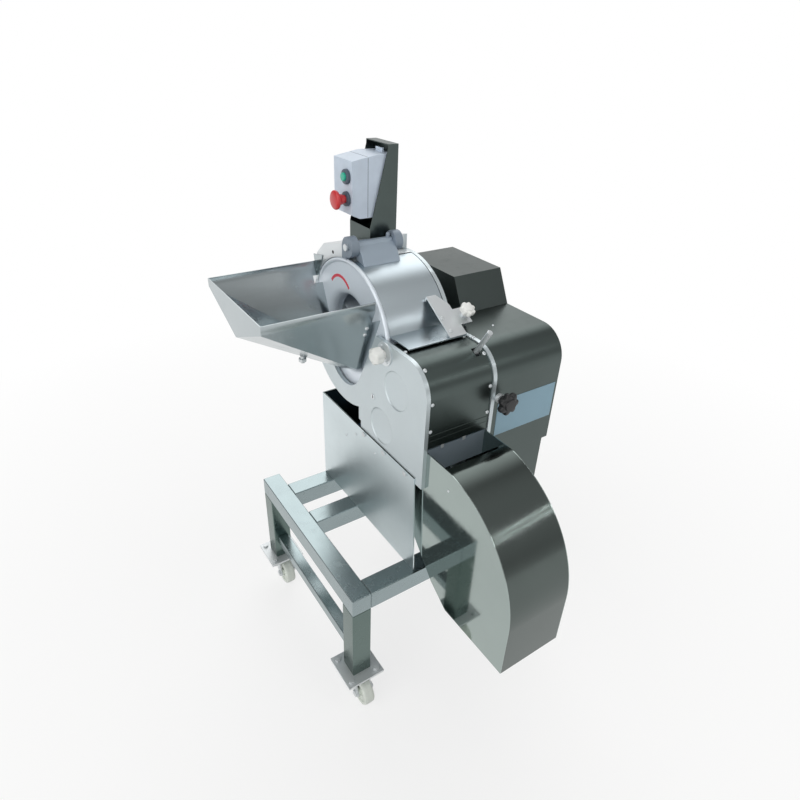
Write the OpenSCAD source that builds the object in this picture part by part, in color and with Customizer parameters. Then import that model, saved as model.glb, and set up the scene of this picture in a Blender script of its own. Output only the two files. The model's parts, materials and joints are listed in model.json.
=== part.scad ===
// Vegetable dicer on castors: drum slicer, two knife spindles, drive casing and discharge chute.
// X runs along the drum axis, -Y is the discharge side, +Z is up, floor at zero.

/* [Frame] */
// Side of the square frame tubes
tube = 50; // [46:1:54]
// Frame length along the drum axis
frame_len = 560; // [550:2:620]
// Frame depth from discharge side to back
frame_dep = 520; // [510:2:560]
// Height of the frame top above the floor
frame_top = 375; // [350:5:420]
// Height of the lower end rails
rail_h = 30; // [20:1:40]
// Thickness of the lower end rails
rail_t = 30; // [20:1:40]
// Top of the lower rails below the frame top
rail_drop = 190; // [150:5:200]
// Near side of the middle cross tube
mid_cross_y = 278; // [260:2:300]
// Back end of the frame to the back cross tube
back_inset = 58; // [54:1:66]

/* [Castors] */
// Side of the foot plates on the legs
foot_plate = 100; // [92:2:110]
// Thickness of the foot plates
foot_t = 6; // [4:1:10]
// Castor height from floor to foot plate
caster_h = 97; // [92:1:110]
// Castor wheel diameter
wheel_d = 75; // [65:1:80]
// Castor wheel width
wheel_w = 28; // [20:1:34]
// Swivel offset of the wheel axle
caster_trail = 30; // [24:1:36]
// Bolt diameter of the castor bolts
bolt_d = 8; // [6:1:10]
// Bolt inset from the foot plate edge
bolt_inset = 14; // [12:1:15]
// Swivel pin diameter
king_d = 12; // [10:1:14]
// Wheel axle diameter
axle_d = 10; // [8:1:12]

/* [Pedestal] */
// Outer face of the near pedestal plate from the frame end
ped_x = 172; // [160:1:180]
// Pedestal height
ped_h = 270; // [265:1:280]
// Pedestal sheet thickness
ped_t = 3; // [2:0.5:4]
// Inset of the far pedestal plate from the frame end
ped_inset = 10; // [6:1:30]

/* [Housing] */
// Thickness of the two housing plates
plate_t = 10; // [9:0.5:12]
// Clear width between the housing plates
chamber_w = 167; // [160:1:180]
// Drum axis from the discharge side of the frame
drum_y = 341; // [336:1:346]
// Drum axis above the frame top
drum_z = 491; // [486:1:496]
// Outer radius of the drum
drum_r = 178; // [176:1:180]
// Wall of the drum and of its cover
drum_t = 3; // [2:0.5:3.5]
// Discharge face of the housing plates
face_y = 2; // [0:1:6]
// Top of the housing plates above the frame top
plate_top = 545; // [543:1:548]
// Overlap of the front plate on the pedestal
plate_lap = 15; // [10:1:20]
// Radius of the rounded upper corner
corner_r = 72; // [60:1:80]
// Back end of the front plate body
body_y = 262; // [250:1:264]
// Radius of the hopper notch
notch_r = 80; // [76:1:84]
// Notch centre below the drum axis
notch_drop = 51; // [46:1:56]
// Radius of the dished recesses
dish_r = 46; // [38:1:48]
// Depth of the dished recesses
dish_depth = 6; // [3:0.5:7]
// Thickness of the curved guard sheet
guard_t = 2; // [1.5:0.5:3]
// Guard surface below the plate rim
guard_inset = 3; // [2:0.5:4]
// Lower edge of the guard above the frame top
guard_bot = 386; // [376:1:396]

/* [Feed ring and cover] */
// Radius of the rounded bead
bead_r = 5; // [4:0.5:6]
// Radius of the feed hole
hole_r = 95; // [85:1:100]
// Hinge axis above the top of the drum
hinge_lift = 31; // [28:1:34]
// Radius of the hinge knuckles
knuckle_r = 23; // [20:0.5:25]
// Width of a hinge knuckle
knuckle_w = 20; // [16:1:24]
// Distance between the outer knuckle faces
hinge_len = 135; // [120:1:150]
// Hinge pin diameter
pin_d = 12; // [10:0.5:14]
// Radius of the hinge barrel
barrel_r = 11; // [9:0.5:13]
// Width of the cover's lower flange
flange_w = 71; // [62:1:76]
// Roof sheet thickness
roof_t = 3; // [2:0.5:4]

/* [Hopper] */
// Reach of the hopper past the frame end
hop_over = 86; // [70:1:110]
// Half width of the hopper rim
hop_half = 151; // [146:1:156]
// Hopper rim above the frame top
hop_top = 627; // [620:1:634]
// Height of the vertical rim band
hop_band = 19; // [15:1:24]
// Hopper sheet thickness
hop_t = 2; // [1.5:0.5:3]
// Hopper body end before the front plate face
hop_gap = 7; // [5:1:12]

/* [Knives and drive] */
// Running clearance of shafts in their bores
run_fit = 0.06; // [0.02:0.01:0.1]
// Space between the impeller and the inside of the drum
imp_gap = 7; // [5:0.5:15]
// Number of impeller paddles
paddles = 4; // [3:1:5]
// Main shaft diameter
shaft_d = 35; // [30:1:38]
// Knife spindle diameter
spindle_d = 24; // [20:1:26]
// Crosscut cutting radius
cross_r = 42; // [36:1:43]
// Number of crosscut blades
blades = 6; // [4:1:8]
// Circular knife radius
disc_r = 52; // [44:1:54]
// Spacing of the circular knives
disc_pitch = 12; // [10:1:16]
// Thickness of the circular knives
disc_t = 1.6; // [1:0.2:2]
// Main pulley radius
main_pul_r = 88; // [80:1:92]
// Motor pulley radius
motor_pul_r = 36; // [30:1:44]
// Knife drive pulley radius on the main shaft
mid_pul_r = 42; // [38:1:44]
// Knife spindle pulley radius
knife_pul_r = 34; // [30:1:38]
// Belt thickness
belt_t = 6; // [4:1:7]
// Motor body radius
motor_r = 70; // [60:1:74]

/* [Casing and hood] */
// Sheet thickness of casing and hood
case_t = 2; // [1.5:0.5:3]
// Casing lower edge above the frame top
case_bot = 262; // [256:1:266]
// Hood top above the frame top
hood_top = 625; // [610:1:640]
// Hood near face behind the back plate
hood_gap = 53; // [40:1:56]

/* [Chute] */
// Radius of the curved chute back
chute_r = 258; // [250:1:270]
// Reach of the chute past the frame
chute_reach = 298; // [290:1:310]
// Height of the curve centre above the frame top
chute_cz = 95; // [85:1:105]
// Chute mouth below the frame top
chute_drop = 33; // [20:1:45]
// Chute sheet thickness
chute_t = 2; // [1.5:0.5:3]

/* [Controls] */
// Post top above the frame top
post_top = 902; // [880:1:930]
// Post width
post_w = 94; // [88:1:100]
// Post depth at its foot
post_d = 71; // [66:1:80]
// Post sheet thickness
post_t = 2; // [1.5:0.5:3]
// Control box width
box_w = 82; // [70:1:84]
// Control box height
box_h = 133; // [125:1:140]
// Control box depth
box_d = 112; // [100:1:116]
// Stop button head diameter
stop_d = 42; // [36:1:44]
// Start button diameter
start_d = 24; // [20:1:28]
// Travel of the start and stop buttons
press = 5; // [3:0.5:6]

/* [Hidden] */
$fn = 64;
e = 0.01;
gap = 0.3;
seam = 0.05;
mid_x = (frame_len + (foot_plate - tube) / 2 - hop_over) / 2;
mid_y = (frame_dep + (foot_plate - tube) / 2 - chute_reach) / 2;
leg_bot = caster_h + foot_t - frame_top;
plate_bot = ped_h - plate_lap;
imp_r = drum_r - drum_t - imp_gap;
hinge_rise = drum_r + hinge_lift;
fp0 = ped_x + ped_t;
fp1 = fp0 + plate_t;
bp0 = fp1 + chamber_w;
bp1 = bp0 + plate_t;
drum_x0 = fp1 + 2 * bead_r;
ped_y1 = frame_dep - back_inset;
ped_x1 = frame_len - ped_inset;
bolt_off = foot_plate / 2 - bolt_inset;
hole_clear = 0.3;
wheel_r = wheel_d / 2;
crown_z = 12.3;
crown_t = 4.7;
fork_in = wheel_w / 2 + 3;
fork_t = 4;
hinge_y = drum_y - 1;
hinge_z = drum_z + hinge_rise;
roof_y0 = hinge_y + knuckle_r + 1;
roof_pts = [[roof_y0, hinge_z + 2], [hinge_y + 112, hinge_z - 20], [hinge_y + 150, hinge_z - 52],
  [drum_y + drum_r + roof_t + 2, drum_z + 69], [drum_y + drum_r + roof_t + 2, drum_z]];
cut_way = [227, 43] / norm([227, 43]);
circ_way = [171, 165] / norm([171, 165]);
cut_gap = 11.03679;
circ_gap = 7.62576;
cut_y = drum_y - cut_way[0] * (drum_r + cross_r + cut_gap);
cut_z = drum_z - cut_way[1] * (drum_r + cross_r + cut_gap);
circ_y = drum_y - circ_way[0] * (drum_r + disc_r + circ_gap);
circ_z = drum_z - circ_way[1] * (drum_r + disc_r + circ_gap);
arc_y = face_y + corner_r;
arc_z = plate_top - corner_r;
cover_a0 = 95;
cover_x0 = drum_x0 + 0.5;
cover_x1 = bp0 - 2;
flange_z = plate_top + 1.3;
flange_seat = 1.180229;
cover_a1 = 180 - asin((flange_z + flange_seat - drum_z) / drum_r);
gate_reach = 96;
gate_y = drum_y - drum_r - gate_reach;
gate_z = 498;
gate_d = 16;
lever_d = 12;
lever_len = 112;
lever_a = 120.7;
lip_w = 12;
lever_x = bp0 - lip_w - lever_d / 2 - 3;
gate_swing = 3;
hop_x1 = fp0 - hop_gap;
hop_y0 = drum_y - hop_half;
ring_face = fp1 + 5;
knob_y = 160;
knob_z = 519;
side_x = bp1 + 10;
side_z = 432;
clamp_x = bp1 + 8;
latch_a = 32;
latch_t = 3;
latch_v = drum_r - latch_t;
latch_u = 125;
bear_t = 12;
knife_x0 = fp1 + 18;
knife_x1 = bp0 - 7;
sleeve_r = 20;
lay_b = bp1 + 16;
lay_a = bp1 + 50;
lay_m = bp1 + 74;
lay_w = 16;
main_w = 30;
motor_y = drum_y - 6;
motor_z = 130;
motor_x0 = ped_x + 30;
motor_x1 = bp0 - 8;
motor_shaft_d = 24;
mplate_t = 8;
hood_x0 = bp1 + hood_gap;
post_y0 = roof_y0 + 3;
post_x1 = bp0 - 20;
post_x0 = post_x1 - post_d;
box_y0 = post_y0 + (post_w - box_w) / 2;
box_z0 = post_top - 154;
box_x1 = post_x1 - post_t;
box_x0 = box_x1 - box_d;
btn_y = box_y0 + 22;
start_z = box_z0 + 89;
stop_z = box_z0 + 42;
collar_h = 8;
gland_x = box_x0 + 22;
gland_z = box_z0 + 24;
gland_r = 8;
chute_cy = chute_r - chute_reach;
chute_top = chute_cz + chute_r * sin(98.7);
chute_in = 60;
slide = [[-106, -chute_drop], [-46, 7], [17, 76], [150, 210]];
slide_k = (slide[3][1] - slide[2][1]) / (slide[3][0] - slide[2][0]);

// Places the machine in its own frame: floor at zero, centred on its outline
module mach() { translate([-mid_x, -mid_y, frame_top]) children(); }

// Round bar along X
module xbar(x0, x1, y, z, r) { translate([x0, y, z]) rotate([0, 90, 0]) cylinder(h = x1 - x0, r = r, $fn = r > 60 ? 192 : 64); }

// Extrudes a profile drawn in the Y and Z directions along X
module xprof(x0, x1) { translate([x0, 0, 0]) rotate([90, 0, 90]) linear_extrude(x1 - x0) children(); }

// Revolves a profile of radius and depth about an axis along X
module xrev(x0, y, z) { translate([x0, y, z]) rotate([0, 90, 0]) rotate_extrude($fn = 96) children(); }

// Flat ring sector between two angles
module sector(ri, ro, a0, a1) {
  intersection() {
    difference() {
      circle(r = ro, $fn = 128);
      circle(r = ri, $fn = 128);
    }
    polygon(concat([[0, 0]], [for (k = [0 : 8]) ro * 1.2 * [cos(a0 + (a1 - a0) * k / 8), sin(a0 + (a1 - a0) * k / 8)]]));
  }
}

// Hexagon head or nut along Z
module hex(af, h) { cylinder(h = h, r = af / cos(30) / 2, $fn = 6); }

// The four corner posts
module at_legs() {
  for (x = [tube / 2, frame_len - tube / 2], y = [tube / 2, frame_dep - tube / 2])
    translate([x, y, leg_bot - foot_t]) children();
}

// The four bolts of one foot plate
module at_bolts() {
  for (x = [-bolt_off, bolt_off], y = [-bolt_off, bolt_off]) translate([x, y, 0]) children();
}

module base_frame() {
  color("lightsteelblue") mach() {
    for (x = [0, frame_len - tube]) {
      translate([x, 0, -tube]) cube([tube, frame_dep, tube]);
      for (y = [0, frame_dep - tube]) translate([x, y, leg_bot]) cube([tube, tube, -leg_bot - tube + e]);
      translate([x + (tube - rail_t) / 2, tube - e, -rail_drop - rail_h]) cube([rail_t, frame_dep - 2 * tube + 2 * e, rail_h]);
    }
    for (y = [0, mid_cross_y, ped_y1 - tube])
      translate([tube - e, y, -tube]) cube([frame_len - 2 * tube + 2 * e, tube, tube]);
  }
}

module foot_plates() {
  color("silver") mach() at_legs() difference() {
    translate([-foot_plate / 2, -foot_plate / 2, 0]) cube([foot_plate, foot_plate, foot_t]);
    at_bolts() translate([0, 0, -1]) cylinder(h = foot_t + 2, d = bolt_d + 2 * hole_clear);
  }
}

module caster_heads() {
  side = foot_plate - 8;
  color("silver") mach() at_legs() {
    difference() {
      translate([-side / 2, -side / 2, -4]) cube([side, side, 4]);
      at_bolts() translate([0, 0, -5]) cylinder(h = 6, d = bolt_d + 2 * hole_clear);
    }
    translate([0, 0, -crown_z + gap]) cylinder(h = crown_z - gap - 4 + e, r = 27);
    translate([0, 0, -crown_z - crown_t - 5.6]) cylinder(h = crown_t + 10, d = king_d);
    translate([0, 0, -crown_z - crown_t - 6]) hex(19, 6 - gap);
  }
}

module caster_bolts() {
  color("gainsboro") mach() at_legs() at_bolts() {
    translate([0, 0, -4 - 1]) cylinder(h = foot_t + 4 + 2, d = bolt_d);
    translate([0, 0, foot_t]) hex(bolt_d * 1.6, bolt_d * 0.7);
    translate([0, 0, -4 - bolt_d * 0.8]) hex(bolt_d * 1.6, bolt_d * 0.8);
  }
}

// Swivel fork with its axle bolt, seen from the swivel axis
module caster_fork() {
  az = -caster_h + wheel_r;
  eye = axle_d / 2 + 7;
  difference() {
    union() {
      translate([0, 0, -crown_z - crown_t]) cylinder(h = crown_t, r = 30);
      for (s = [-1, 1]) translate([s * (fork_in + fork_t / 2), 0, 0]) xprof(-fork_t / 2, fork_t / 2) {
        polygon([[-22, -crown_z - 1], [22, -crown_z - 1], [-caster_trail + eye * 0.8, az - eye * 0.6], [-caster_trail - eye, az]]);
        translate([-caster_trail, az]) circle(r = eye);
      }
    }
    translate([0, 0, -crown_z - crown_t - 1]) cylinder(h = crown_t + 2, d = king_d + 2 * run_fit);
    xbar(-fork_in - fork_t - 1, fork_in + fork_t + 1, -caster_trail, az, axle_d / 2 + run_fit);
  }
  xbar(-fork_in - fork_t - 1, fork_in + fork_t + 1, -caster_trail, az, axle_d / 2);
  for (s = [-1, 1]) translate([s * (fork_in + fork_t + 2.5), -caster_trail, az])
    rotate([0, 90, 0]) translate([0, 0, -2.5]) hex(axle_d * 1.6, 5);
}

module caster_wheel() {
  w = wheel_w / 2;
  xrev(0, -caster_trail, -caster_h + wheel_r) polygon([[axle_d / 2 + run_fit, -fork_in + gap], [axle_d / 2 + 6, -fork_in + gap],
    [axle_d / 2 + 6, -w + 5], [wheel_r - 10, -w + 5], [wheel_r - 8, -w], [wheel_r - 3, -w], [wheel_r, -w + 4],
    [wheel_r, w - 4], [wheel_r - 3, w], [wheel_r - 8, w], [wheel_r - 10, w - 5], [axle_d / 2 + 6, w - 5],
    [axle_d / 2 + 6, fork_in - gap], [axle_d / 2 + run_fit, fork_in - gap]]);
}

// Moves a castor piece to one corner of the frame
module corner(ix, iy) {
  mach() translate([ix ? frame_len - tube / 2 : tube / 2, iy ? frame_dep - tube / 2 : tube / 2, leg_bot - foot_t]) children();
}

module caster_fork_fl() { color("silver") corner(0, 0) caster_fork(); }
module caster_fork_bl() { color("silver") corner(0, 1) caster_fork(); }
module caster_fork_fr() { color("silver") corner(1, 0) caster_fork(); }
module caster_fork_br() { color("silver") corner(1, 1) caster_fork(); }
module caster_wheel_fl() { color("ivory") corner(0, 0) caster_wheel(); }
module caster_wheel_bl() { color("ivory") corner(0, 1) caster_wheel(); }
module caster_wheel_fr() { color("ivory") corner(1, 0) caster_wheel(); }
module caster_wheel_br() { color("ivory") corner(1, 1) caster_wheel(); }

module pedestal() {
  color("lightgray") mach() {
    difference() {
      xprof(ped_x, fp0) polygon([[8, 0], [ped_y1, 0], [ped_y1, ped_h], [26, ped_h]]);
      at_plate_bolts() rotate([0, 90, 0]) translate([0, 0, -ped_t - 1]) cylinder(h = ped_t + 2, d = bolt_d + 2 * hole_clear);
    }
    translate([fp0 - e, ped_y1 - ped_t, 0]) cube([ped_x1 - fp0 + e, ped_t, ped_h]);
    xprof(ped_x1 - ped_t, ped_x1) polygon([[8, 0], [ped_y1, 0], [ped_y1, ped_h], [8, ped_h]]);
    translate([bp1, 8, 0]) cube([ped_x1 - bp1, ped_t, ped_h]);
  }
}

// Bolts that hold the front plate on the pedestal
module at_plate_bolts() {
  for (y = [60, 150, 240]) translate([fp0, y, (plate_bot + ped_h) / 2]) children();
}

module plate_bolts() {
  color("gainsboro") mach() at_plate_bolts() rotate([0, 90, 0]) {
    translate([0, 0, -ped_t]) cylinder(h = ped_t + plate_t / 2, d = bolt_d);
    translate([0, 0, -ped_t - 4]) hex(12, 4);
  }
}

// Right-hand body of the housing plates with the rounded upper corner
module plate_body(y1, z0) {
  translate([arc_y, arc_z]) circle(r = corner_r, $fn = 128);
  translate([face_y, z0]) square([y1 - face_y, arc_z - z0]);
  translate([arc_y, z0]) square([y1 - arc_y, plate_top - z0]);
}

// Outline of the guard at depth g below the plate rim, its open ends moved out by x
module guard_line(g, x) {
  translate([arc_y, arc_z]) circle(r = corner_r - g, $fn = 128);
  translate([face_y + g, guard_bot - x]) square([150 + x - face_y - g, arc_z - guard_bot + x]);
  translate([arc_y, guard_bot - x]) square([150 + x - arc_y, plate_top - g - guard_bot + x]);
}

// Bent strip that follows the guard, t thick, its outer face at depth g
module guard_strip(g, t) {
  difference() {
    guard_line(g, 0);
    guard_line(g + t, 1);
  }
}

module front_plate() {
  sphere_r = (dish_r * dish_r + dish_depth * dish_depth) / (2 * dish_depth);
  side = notch_r * [cos(206.6), sin(206.6)];
  up = 160;
  color("gainsboro") mach() difference() {
    union() {
      xprof(fp0, fp1) difference() {
        union() {
          intersection() {
            translate([drum_y, drum_z]) circle(r = drum_r + 2, $fn = 128);
            translate([drum_y - 150, drum_z - 300]) square([400, 300]);
          }
          plate_body(body_y, plate_bot);
          translate([body_y - 10, plate_bot + 35]) square([20, 42]);
        }
        translate([drum_y, drum_z - notch_drop]) {
          circle(r = notch_r, $fn = 96);
          polygon([side, side + up * [-0.447, 0.894], [-side[0], side[1]] + up * [0.447, 0.894], [-side[0], side[1]]]);
        }
      }
      xprof(fp1 - e, fp1 + lip_w) guard_strip(guard_inset + guard_t, 8);
      for (p = [[cut_y, cut_z], [circ_y, circ_z]]) xbar(fp1 - e, fp1 + 15, p[0], p[1], spindle_d / 2 + 12);
    }
    for (p = [[cut_y, cut_z], [circ_y, circ_z]]) {
      translate([fp0 + dish_depth - sphere_r, p[0], p[1]]) sphere(r = sphere_r, $fn = 128);
      xbar(fp1, fp1 + 20, p[0], p[1], spindle_d / 2 + run_fit);
    }
    xbar(fp1 - 4, fp1 + 1, gate_y, gate_z, gate_d / 2 + run_fit);
    xbar(fp0 - 1, fp0 + 6, knob_y, knob_z, 6 + run_fit);
    at_plate_bolts() rotate([0, 90, 0]) translate([0, 0, -1]) cylinder(h = plate_t / 2 + 1, d = bolt_d + 2 * hole_clear);
    at_guard_screws(fp1 + 6) translate([0, 0, -9]) cylinder(h = 10, d = 5 + 2 * hole_clear);
  }
}

module back_plate() {
  color("gainsboro") mach() difference() {
    union() {
      xprof(bp0, bp1) {
        translate([drum_y, drum_z]) circle(r = drum_r, $fn = 128);
        plate_body(ped_y1 - ped_t, plate_bot);
        translate([8, 0]) square([ped_y1 - ped_t - 8, plate_bot + e]);
        polygon(concat(roof_pts, [[roof_y0, drum_z]]));
      }
      xprof(bp0 - lip_w, bp0 + e) guard_strip(guard_inset + guard_t, 8);
      difference() {
        at_latch() translate([bp0, -latch_u - 13, latch_v - 56]) cube([clamp_x + 12 - bp0, 26, 50]);
        translate([bp1, 0, plate_top - 60]) cube([40, 300, 60 + gap]);
      }
    }
    xbar(bp0 - 1, bp1 + 1, drum_y, drum_z, shaft_d / 2 + 6);
    for (p = [[cut_y, cut_z], [circ_y, circ_z]]) xbar(bp0 - 1, bp1 + 1, p[0], p[1], spindle_d / 2 + 2);
    xbar(bp0 - 1, bp1 + 1, motor_y, motor_z, motor_shaft_d / 2 + 8);
    xbar(bp0 - 1, bp0 + 4, gate_y, gate_z, gate_d / 2 + run_fit);
    at_guard_screws(bp0 - 6) translate([0, 0, -9]) cylinder(h = 10, d = 5 + 2 * hole_clear);
  }
}

module drum_shell() {
  color("silver") mach() xprof(drum_x0, bp0) translate([drum_y, drum_z]) sector(drum_r - drum_t, drum_r, 188, 453);
}

module feed_ring() {
  color("whitesmoke") mach() xrev(fp1, drum_y, drum_z) {
    translate([drum_r + 2 - bead_r, bead_r]) circle(r = bead_r, $fn = 32);
    polygon([[drum_r + 2 - bead_r, 5], [hole_r + 16 + seam, 5], [hole_r + 16 + seam, 8], [drum_r - drum_t - 8, 8],
      [drum_r - drum_t - 6, 2 * bead_r], [drum_r, 2 * bead_r]]);
  }
}

// Flared neck that leads from the ring into the drum
module feed_neck() {
  color("whitesmoke") mach() xrev(fp1, drum_y, drum_z)
    polygon([[hole_r + 16, 5], [hole_r + 5, 7], [hole_r, 11], [hole_r - 3, 18], [hole_r - 3, 34],
      [hole_r, 34], [hole_r, 19], [hole_r + 3, 14], [hole_r + 7, 10.5], [hole_r + 16, 8]]);
}

// Folded roof over the back of the drum
module roof() {
  inner = [for (p = roof_pts) p - [roof_t, roof_t]];
  color("whitesmoke") mach() {
    xprof(fp1, bp0) {
      difference() {
        polygon(concat(roof_pts, [[roof_y0, drum_z]]));
        polygon(concat([[roof_y0 + roof_t, inner[0][1]]], [for (i = [1 : 4]) inner[i]], [[inner[4][0], drum_z - 1], [roof_y0 + roof_t, drum_z - 1]]));
        translate([drum_y, drum_z]) circle(r = drum_r + 2 + gap, $fn = 192);
        translate([roof_y0 - 1, drum_z - 1]) square([roof_t + 2, 150]);
      }
    }
    xprof(fp1, fp1 + roof_t) difference() {
      polygon(concat(roof_pts, [[roof_y0, drum_z]]));
      translate([drum_y, drum_z]) circle(r = drum_r + 2 + gap, $fn = 192);
    }
  }
}

// Hinge lug with its foot against the roof
module hinge_knuckles() {
  color("slategray") mach() for (x = [fp1, fp1 + hinge_len - knuckle_w]) difference() {
    xprof(x, x + knuckle_w) {
      translate([hinge_y, hinge_z]) circle(r = knuckle_r);
      translate([hinge_y + 5, drum_z + drum_r + 1]) square([roof_y0 - hinge_y - 5, hinge_rise - drum_r + 0]);
    }
    xbar(x - 1, x + knuckle_w + 1, hinge_y, hinge_z, pin_d / 2 + run_fit);
    xbar(x - 1, x + knuckle_w + 1, drum_y, drum_z, drum_r + 2 + gap);
  }
}

module hinge_pin() {
  color("silver") mach() {
    xbar(fp1 - 3, fp1 + hinge_len + 3, hinge_y, hinge_z, pin_d / 2);
    xbar(fp1 - 6, fp1 - 0, hinge_y, hinge_z, pin_d / 2 + 2);
    xbar(fp1 + hinge_len, fp1 + hinge_len + 6, hinge_y, hinge_z, pin_d / 2 + 2);
  }
}

module drum_cover() {
  end = [cos(cover_a1), sin(cover_a1)];
  color("darkgray") mach() xprof(cover_x0, cover_x1) {
    translate([drum_y, drum_z]) sector(drum_r - drum_t, drum_r, cover_a0, cover_a1);
    difference() {
      translate([drum_y + drum_r * end[0] - flange_w, flange_z]) square([flange_w + 8, drum_t]);
      translate([drum_y, drum_z]) circle(r = drum_r - drum_t / 2, $fn = 128);
    }
  }
}

module hinge_barrel() {
  x0 = fp1 + knuckle_w + gap;
  x1 = fp1 + hinge_len - knuckle_w - gap;
  color("slategray") mach() difference() {
    union() {
      xbar(x0, x1, hinge_y, hinge_z, barrel_r);
      xprof(x0, x1) polygon([[hinge_y - 10, hinge_z + 3], [hinge_y, hinge_z - 10], [hinge_y - 7, drum_z + drum_r - 4],
        [hinge_y - 46, drum_z + drum_r - 14], [hinge_y - 32, hinge_z - 14]]);
    }
    xbar(x0 - 1, x1 + 1, hinge_y, hinge_z, pin_d / 2 + run_fit);
    xbar(x0 - 1, x1 + 1, drum_y, drum_z, drum_r);
  }
}

// Frame of the latch plate: X along the drum, Y up its slope and Z square to it
module at_latch() { translate([0, drum_y, drum_z]) rotate([latch_a, 0, 0]) children(); }

// Sloping brace on the cover with a tongue over the back plate
module latch_bracket() {
  x0 = cover_x1 - 46;
  low = -latch_u - 47;
  high = -latch_u + 67;
  color("whitesmoke") mach() difference() {
    at_latch() {
      translate([0, 0, latch_v]) linear_extrude(latch_t) polygon([[x0, low], [cover_x1, low], [cover_x1, -latch_u - 21],
        [clamp_x + 12, -latch_u - 21], [clamp_x + 12, -latch_u + 21], [cover_x1, -latch_u + 21], [cover_x1, high - 32],
        [cover_x1 - 20, high], [x0, high]]);
      xprof(x0, cover_x1 - 20) polygon([[high - 5, latch_v - 20], [high, latch_v - 20], [high, latch_v + 2], [high - 5, latch_v + 2]]);
      xprof(x0, cover_x1) polygon([[low, latch_v - 14], [low + 12, latch_v - 14], [low + 12, latch_v + 2], [low, latch_v + 2]]);
    }
    xbar(x0 - 1, cover_x1 + 1, drum_y, drum_z, drum_r + seam);
    translate([x0 - 1, 0, flange_z - 60]) cube([cover_x1 - x0 + 2, drum_y, 60 + drum_t]);
    at_latch() translate([clamp_x, -latch_u, latch_v - 1]) cylinder(h = latch_t + 2, r = 5 + run_fit);
  }
}

// Lobed hand knob, its stem along Z
module lobed_knob(r, h, lobes, stem_r, stem_l) {
  linear_extrude(h) {
    circle(r = r * 0.8);
    for (k = [0 : lobes - 1]) rotate(k * 360 / lobes) translate([r * 0.72, 0]) circle(r = r * 0.28, $fn = 24);
  }
  translate([0, 0, h - e]) cylinder(h = 3, r = r * 0.55);
  translate([0, 0, -8]) cylinder(h = 8 + e, r = r * 0.5);
  translate([0, 0, -8 - stem_l]) cylinder(h = stem_l + e, r = stem_r);
}

module clamp_knob() {
  lift = 4.5;
  color("white") mach() at_latch() translate([clamp_x, -latch_u, latch_v + latch_t + lift + 8])
    lobed_knob(18, 14, 7, 5, lift + latch_t + 6 - gap);
}

// Places a screw on the outer face of the guard, its axis along Z
module at_guard_screws(x) {
  r = corner_r - guard_inset;
  translate([x, 107, arc_z + r]) children();
  translate([x, arc_y, arc_z]) rotate([122.9 - 90, 0, 0]) translate([0, 0, r]) children();
  for (z = [467, 401]) translate([x, arc_y - r, z]) rotate([90, 0, 0]) children();
}

module lower_guard() {
  color("dimgray") mach() difference() {
    xprof(fp1, bp0) guard_strip(guard_inset, guard_t);
    for (x = [fp1 + 6, bp0 - 6]) at_guard_screws(x) translate([0, 0, -guard_t - 1]) cylinder(h = guard_t + 2, d = 5 + 2 * hole_clear);
    translate([lever_x, gate_y, gate_z]) rotate([lever_a - 90, 0, 0]) translate([-lever_d / 2 - 1, -lever_d / 2 - 5, 20])
      cube([lever_d + 2, lever_d + 10, 50]);
  }
}

// Slice gate on its pivot shaft, worked by the lever
module thickness_gate() {
  x0 = drum_x0 + 6;
  x1 = bp0 - 14;
  color("silver") mach() difference() {
    union() {
      xbar(fp1 - 4 + gap, bp0 + 4 - gap, gate_y, gate_z, gate_d / 2);
      translate([0, gate_y, gate_z]) rotate([13.3, 0, 0]) translate([x0, 0, -3]) cube([x1 - x0, gate_reach + 1, 6]);
      xprof(x0, x1) translate([drum_y, drum_z]) sector(drum_r - 2, drum_r + 7, 166, 178);
      translate([lever_x, gate_y, gate_z]) rotate([lever_a - 90, 0, 0]) cylinder(h = lever_len, d = lever_d);
    }
    xbar(x0 - 1, x1 + 1, drum_y, drum_z, drum_r + 0.5);
  }
}

module slicing_knife() {
  y = drum_y - drum_r;
  color("whitesmoke") mach() xprof(drum_x0 + 1, bp0 - 1) polygon([[y - 3, drum_z - 23], [y, drum_z - 23], [y, drum_z + 1], [y - 3, drum_z - 8]]);
}

module knife_holder() {
  y = drum_y - drum_r;
  color("gray") mach() xprof(drum_x0, bp0) translate([y - 6, drum_z - 41]) square([6.5, 18]);
}

// Corner points of the hopper shell, moved inwards by g
function hop_pts(g) = let (x0 = -hop_over + g, x1 = hop_x1 + (g > 0 ? 1 : 0), y = hop_y0, w = 2 * hop_half,
  t = hop_top + (g > 0 ? 1 : 0), b = hop_top - hop_band, v = drum_z + 53, n = drum_z - 59, m = drum_z - 89)
  [[x0, y + g, t], [x0, y + g, b + g * 0.55], [x0, drum_y, v + g * 1.1], [x0, y + w - g, b + g * 0.55], [x0, y + w - g, t],
  [x1, y + g, t], [x1, y + g, b + g * 0.3], [x1, y + 78 + g * 0.8, n + g * 0.8], [x1, drum_y, m + g * 1.15],
  [x1, y + w - 78 - g * 0.8, n + g * 0.8], [x1, y + w - g, b + g * 0.3], [x1, y + w - g, t]];
hop_faces = [[0, 4, 11, 5], [0, 5, 6, 1], [1, 6, 7], [1, 7, 8, 2], [2, 8, 9, 3], [3, 9, 10], [3, 10, 11, 4],
  [0, 1, 2, 3, 4], [5, 11, 10, 9, 8, 7, 6]];

// Wall line of the hopper section at the drum end
module hop_neck(g) {
  polygon([[hop_y0 + 14.6 + g, drum_z + 84 + (g > 0 ? 1 : 0)], [hop_y0 + 78 + g * 0.8, drum_z - 59 + g * 0.8], [drum_y, drum_z - 89 + g * 1.15],
    [drum_y + hop_half - 78 - g * 0.8, drum_z - 59 + g * 0.8], [drum_y + hop_half - 14.6 - g, drum_z + 84 + (g > 0 ? 1 : 0)]]);
}

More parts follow.
